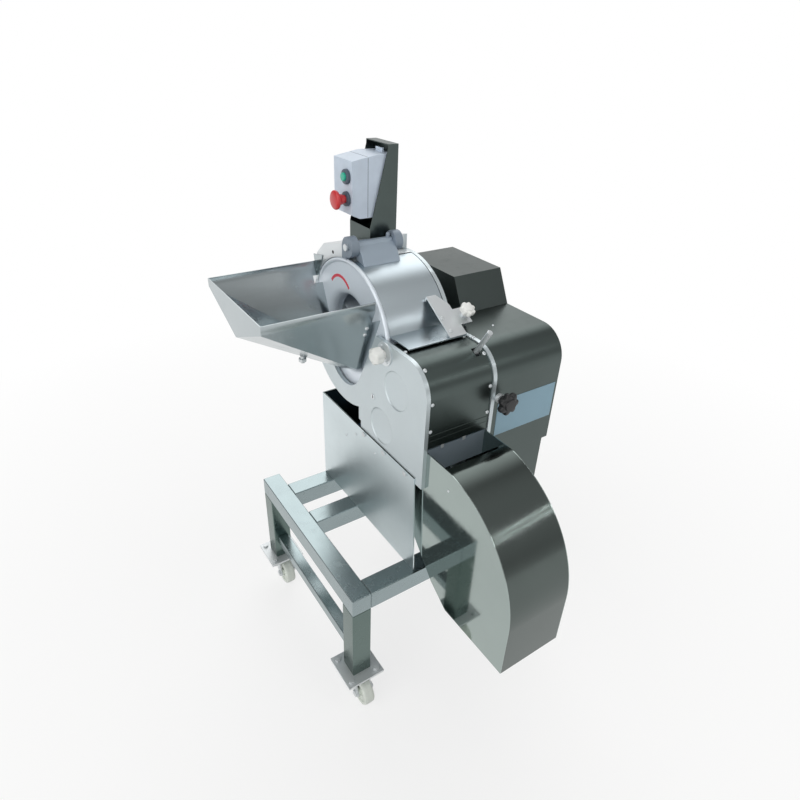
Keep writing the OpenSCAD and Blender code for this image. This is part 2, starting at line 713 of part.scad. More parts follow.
module hopper() {
  back = drum_y + hop_half;
  color("silver") mach() {
    difference() {
      polyhedron(hop_pts(0), hop_faces);
      polyhedron(hop_pts(hop_t), hop_faces);
      translate([hop_x1 - 9, 0, 0]) at_hop_screws() translate([0, 0, -5]) cylinder(h = 6, d = 5 + 2 * hole_clear);
    }
    xprof(hop_x1 - e, ring_face) difference() {
      hop_neck(0);
      hop_neck(hop_t);
    }
    translate([hop_x1 - e, back - hop_t, drum_z + 99]) cube([fp1 - hop_x1, hop_t, 37]);
    xprof(fp1 - 2, fp1) polygon([[back - 2, drum_z + 80], [back + 14, drum_z + 149], [back - 34, drum_z + 158]]);
  }
}

// Screws near the drum end of the hopper's discharge-side wall
module at_hop_screws() {
  for (s = [50, 70]) translate([0, hop_y0 + s * 0.405, hop_top - hop_band - s * 0.914]) rotate([90 + 23.9, 0, 0]) children();
}

// Screws of the guard and the hopper, the hopper's with nuts inside
module sheet_screws() {
  color("silver") mach() {
    for (x = [fp1 + 6, bp0 - 6]) at_guard_screws(x) {
      translate([0, 0, -9]) cylinder(h = 9 + e, d = 5);
      cylinder(h = 2.6, r = 4.5);
    }
    translate([hop_x1 - 9, 0, 0]) at_hop_screws() {
      translate([0, 0, -4]) cylinder(h = 4 + e, d = 5);
      cylinder(h = 3, r = 4.5);
      translate([0, 0, -hop_t - 4]) hex(8, 3.6);
    }
  }
}

module hopper_stud() {
  z = drum_z + 53 - (64 + hop_over) * 142 / (hop_x1 + hop_over);
  color("silver") mach() difference() {
    union() {
      translate([64, drum_y, z - 16]) cylinder(h = 18, r = 5);
      translate([64, drum_y, z - 12]) hex(17, 7);
    }
    polyhedron(hop_pts(0), hop_faces);
  }
}

module knob_flange() {
  color("silver") mach() difference() {
    union() {
      xbar(fp0 - 3, fp0, knob_y, knob_z, 27);
      for (s = [-1, 1]) xbar(fp0 - 5.5, fp0 - 3 + e, knob_y + s * 12, knob_z + s * 15, 4);
    }
    xbar(fp0 - 6, fp0 + 1, knob_y, knob_z, 6 + run_fit);
  }
}

module front_knob() {
  color("white") mach() translate([fp0 - 3 - gap - 8, knob_y, knob_z]) rotate([0, -90, 0]) lobed_knob(20, 20, 6, 6, 8);
}

module side_knob() {
  color("black") mach() translate([side_x, face_y - 22, side_z]) rotate([90, 0, 0]) lobed_knob(27, 18, 7, 6, 20);
}

module side_knob_collar() {
  color("dimgray") mach() translate([side_x, face_y, side_z]) rotate([90, 0, 0]) difference() {
    cylinder(h = 10, r = 11);
    translate([0, 0, -1]) cylinder(h = 12, r = 6 + run_fit);
  }
}

module impeller() {
  x1 = bp0 - 6;
  color("silver") mach() difference() {
    union() {
      xbar(x1 - 8, x1, drum_y, drum_z, imp_r);
      xbar(x1 - 30, x1, drum_y, drum_z, 40);
      for (k = [0 : paddles - 1]) translate([0, drum_y, drum_z]) rotate([k * 360 / paddles + 20, 0, 0])
        translate([fp1 + 43, 60, -3]) cube([x1 - 8 - fp1 - 43 + e, imp_r - 60 - 0.5, 6]);
    }
    xbar(x1 - 31, x1 + 1, drum_y, drum_z, shaft_d / 2);
  }
}

module main_shaft() {
  color("silver") mach() {
    xbar(bp0 - 42, lay_m + main_w + 8, drum_y, drum_z, shaft_d / 2);
    xbar(bp0 - 42, bp0 - 36, drum_y, drum_z, shaft_d / 2 + 8);
  }
}

module main_bearing() {
  color("slategray") mach() difference() {
    union() {
      xbar(bp1, bp1 + 12, drum_y, drum_z, 48);
      xbar(bp1 + 12 - e, lay_a - 6, drum_y, drum_z, 38);
    }
    xbar(bp1 - 1, lay_a, drum_y, drum_z, shaft_d / 2 + run_fit);
  }
}

// Belt pulley with a raised rim on both sides
module pulley(x, y, z, r, w, bore) {
  xrev(x, y, z) polygon([[bore, 0], [r + 3, 0], [r + 3, 2], [r, 2.5], [r, w - 2.5], [r + 3, w - 2], [r + 3, w], [bore, w]]);
}

module main_pulleys() {
  color("dimgray") mach() {
    pulley(lay_a, drum_y, drum_z, mid_pul_r, lay_w, shaft_d / 2);
    pulley(lay_m, drum_y, drum_z, main_pul_r, main_w, shaft_d / 2);
  }
}

module crosscut_spindle() {
  color("silver") mach() {
    xbar(fp1 + 0.5, lay_a + lay_w + 4, cut_y, cut_z, spindle_d / 2);
    pulley(lay_b, cut_y, cut_z, knife_pul_r, lay_w, spindle_d / 2 - e);
    pulley(lay_a, cut_y, cut_z, knife_pul_r, lay_w, spindle_d / 2 - e);
  }
}

module crosscut_knives() {
  color("whitesmoke") mach() difference() {
    union() {
      xbar(knife_x0, knife_x1, cut_y, cut_z, sleeve_r);
      for (k = [0 : blades - 1]) translate([0, cut_y, cut_z]) rotate([k * 360 / blades, 0, 0])
        xprof(knife_x0, knife_x1) polygon([[15, -3], [cross_r - 9, -3], [cross_r - 0.2, 2], [cross_r - 9, 1], [15, 3]]);
    }
    xbar(knife_x0 - 1, knife_x1 + 1, cut_y, cut_z, spindle_d / 2);
  }
}

// Spindle with the spacer sleeve that carries the knife discs
module circular_spindle() {
  color("silver") mach() {
    xbar(fp1 + 0.5, lay_b + lay_w + 4, circ_y, circ_z, spindle_d / 2);
    xbar(knife_x0, knife_x1, circ_y, circ_z, sleeve_r);
    pulley(lay_b, circ_y, circ_z, knife_pul_r, lay_w, spindle_d / 2 - e);
  }
}

module circular_knives() {
  n = floor((knife_x1 - knife_x0 - 6) / disc_pitch);
  color("whitesmoke") mach() for (k = [0 : n]) translate([knife_x0 + 3 + k * disc_pitch, 0, 0]) difference() {
    xbar(0, disc_t, circ_y, circ_z, disc_r);
    xbar(-1, disc_t + 1, circ_y, circ_z, sleeve_r + seam);
  }
}

module spindle_bearings() {
  color("slategray") mach() for (p = [[cut_y, cut_z], [circ_y, circ_z]]) difference() {
    xbar(bp1, bp1 + bear_t, p[0], p[1], spindle_d / 2 + 16);
    xbar(bp1 - 1, bp1 + bear_t + 1, p[0], p[1], spindle_d / 2 + run_fit);
  }
}

// Outline around two pulleys at running radii r1 and r2, the second one d along Y
module belt_line(r1, r2, d) {
  a = asin((r1 - r2) / d);
  p1 = (r1 - 0.05) * [sin(a), cos(a)];
  p2 = (r2 - 0.05) * [sin(a), cos(a)];
  circle(r = r1, $fn = 128);
  translate([d, 0]) circle(r = r2, $fn = 128);
  polygon([p1, [d + p2[0], p2[1]], [d + p2[0], -p2[1]], [p1[0], -p1[1]]]);
}

// Belt around two pulleys, drawn from the centres and running radii
module belt_loop(c1, r1, c2, r2) {
  d = norm(c2 - c1);
  translate(c1) rotate(atan2(c2[1] - c1[1], c2[0] - c1[0])) difference() {
    belt_line(r1 + belt_t, r2 + belt_t, d);
    belt_line(r1, r2, d);
  }
}

module belts() {
  main = [drum_y, drum_z];
  cut = [cut_y, cut_z];
  circ = [circ_y, circ_z];
  color("black") mach() {
    xprof(lay_m + 3, lay_m + main_w - 3) belt_loop(main, main_pul_r + gap, [motor_y, motor_z], motor_pul_r + gap);
    xprof(lay_a + 3, lay_a + lay_w - 3) belt_loop(main, mid_pul_r + gap, cut, knife_pul_r + gap);
    xprof(lay_b + 3, lay_b + lay_w - 3) belt_loop(cut, knife_pul_r + gap, circ, knife_pul_r + gap);
  }
}

module motor() {
  color("steelblue") mach() difference() {
    union() {
      xbar(motor_x0, motor_x1, motor_y, motor_z, motor_r);
      xbar(motor_x1 - e, motor_x1 + 5, motor_y, motor_z, motor_r * 0.6);
      for (k = [-5 : 5]) translate([motor_x0 + 20, motor_y, motor_z]) rotate([k * 14 + 90, 0, 0])
        translate([0, motor_r - 3, -1.5]) cube([motor_x1 - motor_x0 - 40, 9, 3]);
      translate([motor_x0 + 15, motor_y - 55, mplate_t]) cube([motor_x1 - motor_x0 - 30, 110, motor_z - mplate_t - motor_r * 0.7]);
    }
    xbar(motor_x1 - 30, motor_x1 + 6, motor_y, motor_z, motor_shaft_d / 2 + run_fit);
  }
}

module motor_pulley() {
  color("dimgray") mach() {
    xbar(motor_x1 - 28, lay_m + main_w + 4, motor_y, motor_z, motor_shaft_d / 2);
    pulley(lay_m, motor_y, motor_z, motor_pul_r, main_w, motor_shaft_d / 2 - e);
  }
}

module motor_plate() {
  color("gray") mach() translate([motor_x0, mid_cross_y, 0]) cube([motor_x1 - motor_x0, ped_y1 - ped_t - mid_cross_y - 1, mplate_t]);
}

// Closed outline of the drive casing, inset by g
module case_outline(g) {
  y1 = ped_y1 - g;
  r = corner_r - g;
  translate([arc_y, arc_z]) circle(r = r, $fn = 128);
  translate([face_y + g, case_bot - (g > 0 ? 1 : 0)]) square([y1 - face_y - g, arc_z - case_bot + (g > 0 ? 1 : 0)]);
  translate([arc_y, case_bot]) square([y1 - arc_y, plate_top - 26 - case_bot]);
  translate([arc_y, case_bot]) square([y1 - arc_y - 26 + g, plate_top - g - case_bot]);
  translate([ped_y1 - 26, plate_top - 26]) circle(r = 26 - g);
}

module drive_casing() {
  color("dimgray") mach() difference() {
    xprof(bp1, frame_len) case_outline(0);
    xprof(bp1 - 1, frame_len - case_t) case_outline(case_t);
    translate([hood_x0 + 6, drum_y - 100, plate_top - 20]) cube([frame_len - hood_x0 - 14, 182, 40]);
    translate([side_x, face_y - 1, side_z]) rotate([-90, 0, 0]) cylinder(h = case_t + 2, r = 6 + run_fit);
    translate([bp1 - 1, ped_y1 - ped_t - gap, case_bot - 1]) cube([frame_len, ped_t + 1, ped_h - case_bot + 1 + gap]);
  }
}

// Hood over the top of the main pulley
module hood() {
  y0 = drum_y - 142;
  y1 = drum_y + 90;
  top = hood_top - plate_top;
  color("dimgray") mach() translate([0, 0, plate_top]) difference() {
    xprof(hood_x0, frame_len) polygon([[y0, 0], [y0 + 41, top], [y1, top], [y1, 0]]);
    xprof(hood_x0 + case_t, frame_len - case_t) polygon([[y0 + case_t, -1], [y0 + 41 + case_t, top - case_t], [y1 - case_t, top - case_t], [y1 - case_t, -1]]);
  }
}

// Bowed part of the chute outline at depth g, its open edges moved out by x
module chute_bow(g, x) {
  translate([chute_cy, chute_cz]) intersection() {
    circle(r = chute_r - g, $fn = 192);
    translate([-chute_r - 10, 0]) square([chute_r + 10 + x, chute_top - chute_cz + x]);
  }
}

// Outline behind the chute back at depth g, its open edges moved out where g is set
module chute_line(g) {
  x = g > 0 ? 1 : 0;
  chute_bow(g, x);
  translate([-chute_reach + g, -chute_drop - x]) square([chute_r - g + x, chute_cz + chute_drop + x]);
}

module chute_sides() {
  color("dimgray") mach() for (x = [fp1, bp0 - chute_t]) xprof(x, x + chute_t) {
    chute_bow(0, 0);
    polygon([[-chute_reach, chute_cz], [-chute_reach, -chute_drop], slide[0], slide[1], slide[2],
      [chute_in, slide[2][1] + (chute_in - slide[2][0]) * slide_k], [chute_in, chute_top], [chute_cy, chute_top], [chute_cy, chute_cz]]);
  }
}

// Curved back sheet and folded slide sheet, both between the chute sides
module chute_back() {
  lift = [-0.7, 1] * chute_t;
  color("dimgray") mach() xprof(fp1 + chute_t, bp0 - chute_t) {
    difference() {
      chute_line(0);
      chute_line(chute_t);
    }
    polygon(concat(slide, [for (i = [3 : -1 : 0]) slide[i] + lift]));
  }
}

// Folded channel post, closed at its foot
module control_post() {
  z0 = hinge_z - 60;
  zf = post_top - 178;
  xs = post_x1 - 27;
  color("dimgray") mach() difference() {
    union() {
      for (y = [post_y0, post_y0 + post_w - post_t]) translate([0, y + post_t, 0]) rotate([90, 0, 0]) linear_extrude(post_t)
        polygon([[post_x0, z0], [post_x1, z0], [post_x1, post_top], [xs, post_top], [xs, post_top - 9], [post_x0, zf]]);
      translate([post_x1 - post_t, post_y0, z0]) cube([post_t, post_w, post_top - z0]);
      translate([post_x0, post_y0, z0]) cube([post_t, post_w, zf - z0]);
      translate([xs, post_y0, post_top - post_t]) cube([post_x1 - xs, post_w, post_t]);
    }
    xprof(post_x0 - 1, post_x1 + 1) polygon(concat(roof_pts, [[roof_y0, drum_z]]));
  }
}

module control_box() {
  z1 = box_z0 + box_h;
  color("lightsteelblue") mach() difference() {
    union() {
      translate([0, box_y0 + box_w, 0]) rotate([90, 0, 0]) linear_extrude(box_w)
        polygon([[box_x0, box_z0 + 9], [box_x0 + 20, box_z0], [box_x1, box_z0], [box_x1, z1], [box_x0 + 60, z1], [box_x0, z1 - 10]]);
      translate([box_x1 - 20, box_y0 + box_w / 2 - 14, z1 - 4]) cube([5, 28, 13]);
    }
    for (z = [start_z, stop_z]) xbar(box_x0 - 1, box_x0 + 30, btn_y, z, 11);
    translate([gland_x, box_y0 + box_w - 8, gland_z]) rotate([-90, 0, 0]) cylinder(h = 9, r = gland_r + hole_clear);
  }
}

module button_collars() {
  color("slategray") mach() for (z = [start_z, stop_z]) difference() {
    union() {
      xbar(box_x0 - collar_h, box_x0, btn_y, z, start_d / 2 + 4);
      xbar(box_x0 - e, box_x0 + 20, btn_y, z, 11);
    }
    xbar(box_x0 - collar_h - 1, box_x0 + 21, btn_y, z, 7 + run_fit);
    xbar(box_x0 - collar_h - 1, box_x0 + press + 3, btn_y, z, start_d / 2 - 3 + gap);
  }
}

module start_button() {
  color("mediumseagreen") mach() {
    xbar(box_x0 - collar_h - press, box_x0 - 0, btn_y, start_z, start_d / 2 - 3);
    xbar(box_x0 - e, box_x0 + 18, btn_y, start_z, 7);
  }
}

module stop_button() {
  x0 = box_x0 - collar_h - press - 24;
  color("red") mach() {
    xrev(x0, btn_y, stop_z) polygon([[0, 0], [stop_d / 2 - 5, 1], [stop_d / 2 - 1, 4], [stop_d / 2, 7], [stop_d / 2 - 1, 10],
      [13, 15], [start_d / 2 - 1, 23], [0, 23]]);
    xbar(x0 + 22, box_x0, btn_y, stop_z, start_d / 2 - 3);
    xbar(box_x0 - e, box_x0 + 18, btn_y, stop_z, 7);
  }
}

module cable_gland() {
  color("dimgray") mach() translate([gland_x, box_y0 + box_w, gland_z]) rotate([-90, 0, 0]) difference() {
    union() {
      hex(22, 6);
      translate([0, 0, 4]) cylinder(h = 16, r = 10);
      translate([0, 0, -7.5]) cylinder(h = 9, r = gland_r);
    }
    translate([0, 0, -9]) cylinder(h = 31, r = 5);
  }
}

base_frame();
foot_plates();
caster_heads();
caster_bolts();
caster_fork_fl();
caster_fork_bl();
caster_fork_fr();
caster_fork_br();
caster_wheel_fl();
caster_wheel_bl();
caster_wheel_fr();
caster_wheel_br();
pedestal();
front_plate();
back_plate();
plate_bolts();
drum_shell();
feed_ring();
feed_neck();
roof();
hinge_knuckles();
hinge_pin();
drum_cover();
hinge_barrel();
latch_bracket();
clamp_knob();
lower_guard();
sheet_screws();
thickness_gate();
slicing_knife();
knife_holder();
hopper();
hopper_stud();
knob_flange();
front_knob();
side_knob();
side_knob_collar();
impeller();
main_shaft();
main_bearing();
main_pulleys();
crosscut_spindle();
crosscut_knives();
circular_spindle();
circular_knives();
spindle_bearings();
belts();
motor();
motor_pulley();
motor_plate();
drive_casing();
hood();
chute_sides();
chute_back();
control_post();
control_box();
button_collars();
start_button();
stop_button();
cable_gland();
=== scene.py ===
# Looks of the vegetable dicer: pieces, finishes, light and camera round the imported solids.
import json
import math

import bpy
from mathutils import Matrix, Vector


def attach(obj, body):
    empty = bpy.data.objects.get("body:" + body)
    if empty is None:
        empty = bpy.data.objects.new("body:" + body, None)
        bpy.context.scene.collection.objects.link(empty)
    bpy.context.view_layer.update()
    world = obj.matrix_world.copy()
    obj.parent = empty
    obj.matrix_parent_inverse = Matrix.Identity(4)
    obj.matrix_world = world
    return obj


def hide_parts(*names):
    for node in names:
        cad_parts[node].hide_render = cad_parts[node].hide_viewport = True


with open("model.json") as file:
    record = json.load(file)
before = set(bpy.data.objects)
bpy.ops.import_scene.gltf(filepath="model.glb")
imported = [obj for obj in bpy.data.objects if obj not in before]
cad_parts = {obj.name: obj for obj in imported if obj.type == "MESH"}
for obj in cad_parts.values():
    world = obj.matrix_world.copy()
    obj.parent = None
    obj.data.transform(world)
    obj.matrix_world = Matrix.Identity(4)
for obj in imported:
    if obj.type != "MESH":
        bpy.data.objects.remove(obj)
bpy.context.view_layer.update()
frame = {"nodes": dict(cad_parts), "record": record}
record = frame["record"]
solids = frame["nodes"]
body_of = {n: b for b, names in record["behaviour"]["bodies"].items() for n in names}

MACHINE_ZERO = Vector((-0.2495, -0.1235, 0.375))
MM = 1000                  # millimetres in a metre
DRUM = (341, 491)          # drum axis, as Y and Z from the frame's corner
CUT = (114, 448)           # crosscut spindle
DISC = (170, 326)          # circular knife spindle
GUARD_BEND = (74, 473)     # axis of the bend at the top of the lower guard
GUARD_BEND_R = 69
FRONT_KNOB = (163.7, 160, 519)
SIDE_KNOB = (372, -20, 432)
START = (218, 395, 837)
STOP = (218, 395, 790)
LEFT, RIGHT, NEAR, FAR, UP = (-1, 0, 0), (1, 0, 0), (0, -1, 0), (0, 1, 0), (0, 0, 1)
SLOPE = math.radians(32)   # slope of the latch plate
LATCH_OUT = (0, -math.sin(SLOPE), math.cos(SLOPE))


def at(x, y, z):
    """A point of the machine in millimetres from the frame's corner, in metres of the shared frame."""
    return MACHINE_ZERO + Vector((x, y, z)) / MM


def on_latch(x, down, out):
    """A point given along the drum, down the latch plate's slope and out from the drum axis."""
    return at(x, DRUM[0] - down * math.cos(SLOPE) - out * math.sin(SLOPE),
              DRUM[1] - down * math.sin(SLOPE) + out * math.cos(SLOPE))


# ---------------------------------------------------------------- camera

# fitted to the photo: where the camera stands, and its own right, up and back
CAMERA_PLACE = (-0.69378, -0.91708, 1.47201)
CAMERA_AXES = ((0.832315, -0.55321, 0.034784), (0.263542, 0.450149, 0.853177), (-0.487644, -0.700945, 0.52046))

camera = bpy.data.objects.new("photo_camera", bpy.data.cameras.new("photo_camera"))
bpy.context.scene.collection.objects.link(camera)
camera.data.lens = 26.629
camera.data.sensor_width = 36
camera.data.clip_end = 60
camera.matrix_world = Matrix.Translation(CAMERA_PLACE) @ Matrix(CAMERA_AXES).transposed().to_4x4()
bpy.context.scene.camera = camera
bpy.context.scene.view_settings.view_transform = "Standard"


# ---------------------------------------------------------------- finishes


class Value:
    """A shader value that can stand in a Python expression."""

    def __init__(self, finish, socket):
        self.finish, self.socket = finish, socket

    def calc(self, operation, first, second):
        return self.finish.node("ShaderNodeMath", {"operation": operation}, {0: first, 1: second})

    def __add__(self, other):
        return self.calc("ADD", self, other)

    def __radd__(self, other):
        return self.calc("ADD", other, self)

    def __sub__(self, other):
        return self.calc("SUBTRACT", self, other)

    def __rsub__(self, other):
        return self.calc("SUBTRACT", other, self)

    def __mul__(self, other):
        return self.calc("MULTIPLY", self, other)

    def __rmul__(self, other):
        return self.calc("MULTIPLY", other, self)


class Finish:
    """One material, built on its Principled shader."""

    def __init__(self, name, **fixed):
        self.material = bpy.data.materials.new(name)
        self.material.use_nodes = True
        self.tree = self.material.node_tree
        self.shader = self.tree.nodes["Principled BSDF"]
        for socket, value in fixed.items():
            self.shader.inputs[socket.replace("_", " ")].default_value = value

    def node(self, kind, settings=None, sockets=None, out=0):
        made = self.tree.nodes.new(kind)
        for key, value in (settings or {}).items():
            setattr(made, key, value)
        for key, value in (sockets or {}).items():
            self.feed(made.inputs[key], value)
        return Value(self, made.outputs[out])

    def feed(self, socket, value):
        if isinstance(value, Value):
            self.tree.links.new(value.socket, socket)
        else:
            socket.default_value = value

    def coat(self, **inputs):
        for socket, value in inputs.items():
            self.feed(self.shader.inputs[socket.replace("_", " ")], value)
        return self

    def spot(self, scale=(1, 1, 1)):
        """Object coordinates, stretched."""
        here = self.node("ShaderNodeTexCoord", out="Object")
        return self.node("ShaderNodeMapping", {}, {"Vector": here, "Scale": scale})

    def noise(self, spot, scale, detail, rough):
        sockets = {"Vector": spot, "Scale": scale, "Detail": detail, "Roughness": rough}
        return self.node("ShaderNodeTexNoise", {}, sockets)

    def band(self, value, low, high):
        """Stretches a value so that low becomes 0 and high becomes 1."""
        return self.node("ShaderNodeMapRange", {"clamp": True}, {"Value": value, "From Min": low, "From Max": high})

    def mix(self, factor, first, second):
        return self.node("ShaderNodeMix", {"data_type": "RGBA"}, {0: factor, 6: first, 7: second}, out=2)

    def bump(self, height, strength, distance):
        return self.node("ShaderNodeBump", {}, {"Strength": strength, "Distance": distance, "Height": height})


def tint(colour, gain):
    """A colour made lighter or darker, with its alpha."""
    return tuple(min(1.0, c * gain) for c in colour) + (1.0,)


def steel(name, colour, rough, grain, streak, cloud, lay, metallic=1.0):
    """Stainless sheet: fine grain lines along one way, soft cloudy patches and faint handling marks."""
    f = Finish(name, Metallic=metallic)
    lines = f.noise(f.spot(grain), 1.0, 3.0, 0.65)
    patch = f.band(f.noise(f.spot(), 7.0, 3.0, 0.55), 0.3, 0.7)
    marks = f.band(f.noise(f.spot(), 38.0, 4.0, 0.6), 0.52, 0.72)
    shade = f.mix(lines, tint(colour, 1 - streak), tint(colour, 1 + streak))
    shade = f.mix(patch * cloud * 2, shade, tint(colour, 0.78))
    f.coat(Base_Color=shade, Roughness=rough + (lines - 0.5) * streak * 1.2 + patch * 0.05 + marks * 0.05)
    return f.coat(Normal=f.bump(lines, lay, 0.4 / MM))


def painted(name, colour, rough, grain, orange, metallic=0.0, wear=0.12):
    """Paint or blasted metal: fine texture, slow colour drift, dull handling patches."""
    f = Finish(name, Metallic=metallic)
    fine = f.noise(f.spot(), grain, 3.0, 0.6)
    slow = f.band(f.noise(f.spot(), 9.0, 3.0, 0.5), 0.3, 0.7)
    shade = f.mix(slow, tint(colour, 1 - wear), tint(colour, 1 + wear * 0.5))
    shade = f.mix(fine * 0.25, shade, tint(colour, 0.88))
    f.coat(Base_Color=shade, Roughness=rough + (fine - 0.5) * 0.14 + slow * 0.06)
    return f.coat(Normal=f.bump(fine, orange, 0.5 / MM))


def moulded(name, colour, rough, coat=0.0, grain=520.0, pit=0.05):
    """Moulded plastic: a faint grain, a little unevenness and rubbed places."""
    f = Finish(name, Metallic=0.0, Coat_Roughness=0.15)
    fine = f.noise(f.spot(), grain, 2.0, 0.5)
    slow = f.band(f.noise(f.spot(), 22.0, 3.0, 0.55), 0.35, 0.7)
    f.coat(Base_Color=f.mix(slow, tint(colour, 0.93), tint(colour, 1.04)))
    f.coat(Coat_Weight=slow * coat * 0.3 + coat * 0.7)
    f.coat(Roughness=rough + (fine - 0.5) * 0.12 + slow * 0.07)
    return f.coat(Normal=f.bump(fine, pit, 0.3 / MM))


FINE, LONG = 900.0, 7.0    # noise per metre across and along the grain
GRAIN_X, GRAIN_Y, GRAIN_Z = (LONG, FINE, FINE), (FINE, LONG, FINE), (FINE, FINE, LONG)
DARK = (0.092, 0.114, 0.109)
# the hood's steel is the casing steel at two thirds of its brightness: painted shade
DARK_SHADED = tint(DARK, 0.66)[:3]
# LIGHT is the tube steel as lit on its tops; the uprights get a darker, greener copy of it, which is painted shade
LIGHT = (0.33, 0.395, 0.405)

# steel: colour, roughness, grain, streaks, clouds, bump; painted: colour, roughness, grain, bump, metal, wear;
# moulded: colour, roughness, gloss coat, grain, bump
finishes = {
    "polished_x": steel("polished_steel_grain_x", DARK, 0.29, GRAIN_X, 0.06, 0.10, 0.015),
    # the hood: a darker copy of the casing steel, painted shade
    "polished_y_shaded": steel("polished_steel_grain_y_shaded", DARK_SHADED, 0.32, GRAIN_Y, 0.06, 0.10, 0.015, metallic=0.80),
    "polished_z": steel("polished_steel_grain_z", DARK, 0.29, GRAIN_Z, 0.06, 0.10, 0.015),
    "mirror": steel("mirror_sheet", (0.37, 0.43, 0.41), 0.04, GRAIN_Y, 0.03, 0.10, 0.006),
    "chute": steel("chute_sheet", (0.108, 0.128, 0.121), 0.12, GRAIN_X, 0.03, 0.10, 0.006),
    "cover": steel("cover_sheet", (0.50, 0.565, 0.60), 0.27, GRAIN_X, 0.04, 0.10, 0.008),
    "hopper": steel("hopper_steel", (0.46, 0.51, 0.525), 0.19, GRAIN_X, 0.06, 0.10, 0.02),
    "tube_x": steel("tube_steel_along_x", LIGHT, 0.22, GRAIN_X, 0.05, 0.14, 0.012),
    "tube_y": steel("tube_steel_along_y", LIGHT, 0.22, GRAIN_Y, 0.05, 0.14, 0.012),
    # the uprights' tube steel: about half as bright and greener than the lit tubes, painted shade of the tube sides
    "tube_z_shaded": steel("tube_steel_upright_shaded", (0.15, 0.202, 0.186), 0.22, GRAIN_Z, 0.05, 0.14, 0.012),
    "pedestal": steel("pedestal_sheet", (0.70, 0.78, 0.80), 0.32, GRAIN_Z, 0.05, 0.22, 0.012),
    "bright": steel("bright_steel", (0.74, 0.775, 0.79), 0.30, (300, 300, 300), 0.01, 0.08, 0.004, metallic=0.80),
    "ring": steel("feed_ring_steel", (0.82, 0.885, 0.95), 0.32, (260, 260, 260), 0.03, 0.04, 0.012, metallic=0.30),
    "zinc": steel("zinc_plate", (0.66, 0.69, 0.70), 0.36, (160, 160, 160), 0.03, 0.10, 0.012, metallic=0.55),
    "knife": steel("ground_knife_steel", (0.72, 0.73, 0.74), 0.20, GRAIN_X, 0.08, 0.08, 0.05),
    "cast": painted("blasted_plate", (0.58, 0.645, 0.665), 0.30, 420.0, 0.012, 0.70, 0.05),
    "hinge": painted("hinge_casting", (0.250, 0.300, 0.355), 0.40, 300.0, 0.10, 0.25, 0.10),
    "hinge_sheet": painted("hinge_sheet", (0.36, 0.43, 0.50), 0.34, 300.0, 0.08, 0.50, 0.08),
    "iron": painted("bearing_iron", (0.20, 0.21, 0.22), 0.55, 160.0, 0.30, 0.4, 0.2),
    "motor": painted("motor_enamel", (0.10, 0.17, 0.28), 0.38, 260.0, 0.08, 0.0, 0.12),
    "box": moulded("control_box_plastic", (0.60, 0.685, 0.79), 0.42, 0.05),
    "collar": moulded("collar_plastic", (0.075, 0.10, 0.135), 0.38, 0.1),
    "green": moulded("start_plastic", (0.02, 0.45, 0.30), 0.28, 0.4),
    "red": moulded("stop_plastic", (0.62, 0.025, 0.03), 0.30, 0.4),
    "white": moulded("white_knob_plastic", (0.80, 0.81, 0.78), 0.36, 0.2),
    "black": moulded("black_knob_plastic", (0.010, 0.011, 0.012), 0.42, 0.0),
    "nylon": moulded("nylon_wheel", (0.70, 0.74, 0.68), 0.45, 0.0, 300.0, 0.08),
    "belt": moulded("belt_rubber", (0.02, 0.02, 0.02), 0.75, 0.0, 240.0, 0.2),
    "plate_blue": painted("bare_plate_film", (0.235, 0.385, 0.475), 0.38, 500.0, 0.03, 0.0, 0.03),
    "arc_red": painted("arc_paint", (0.78, 0.07, 0.10), 0.45, 400.0, 0.03, 0.0, 0.06),
    # near-black: painted shade for holes that are not cut
    "socket": painted("painted_hole_shade", (0.02, 0.02, 0.022), 0.6, 300.0, 0.05),
}


# ---------------------------------------------------------------- ways of making a piece


def only(obj=None):
    """Leaves object mode with nothing else selected."""
    if bpy.context.object and bpy.context.object.mode != "OBJECT":
        bpy.ops.object.mode_set(mode="OBJECT")
    bpy.ops.object.select_all(action="DESELECT")
    if obj:
        obj.select_set(True)
        bpy.context.view_layer.objects.active = obj
    return obj


def modifier(obj, kind, **settings):
    """Adds a modifier to a piece and applies it."""
    only(obj)
    made = obj.modifiers.new(kind.lower(), kind)
    for key, value in settings.items():
        setattr(made, key, value)
    bpy.ops.object.modifier_apply(modifier=made.name)


def soft_shaded(obj, angle):
    """Smooths the shading below an edge angle, and keeps flat faces flat."""
    only(obj)
    bpy.ops.object.shade_smooth_by_angle(angle=math.radians(angle))
    modifier(obj, "WEIGHTED_NORMAL", keep_sharp=True, weight=90)


def rounded(obj, edge, segments=2, angle=32):
    """Breaks the sharp edges of a piece by so many millimetres."""
    modifier(obj, "BEVEL", width=edge / MM, segments=segments, limit_method="ANGLE",
             angle_limit=math.radians(angle), use_clamp_overlap=True, harden_normals=False)


def stood(obj, centre, axis):
    """Moves a shape made along Z at the origin to its place and axis, with the place in its mesh."""
    turn = Vector(UP).rotation_difference(Vector(axis)).to_matrix().to_4x4()
    obj.matrix_world = Matrix.Translation(centre) @ turn
    only(obj)
    bpy.ops.object.transform_apply(location=True, rotation=True, scale=True)


def outward(obj):
    """Merges doubles and points the faces outwards."""
    only(obj)
    bpy.ops.object.mode_set(mode="EDIT")
    bpy.ops.mesh.select_all(action="SELECT")
    bpy.ops.mesh.remove_doubles(threshold=1e-6)
    bpy.ops.mesh.normals_make_consistent(inside=False)
    bpy.ops.object.mode_set(mode="OBJECT")


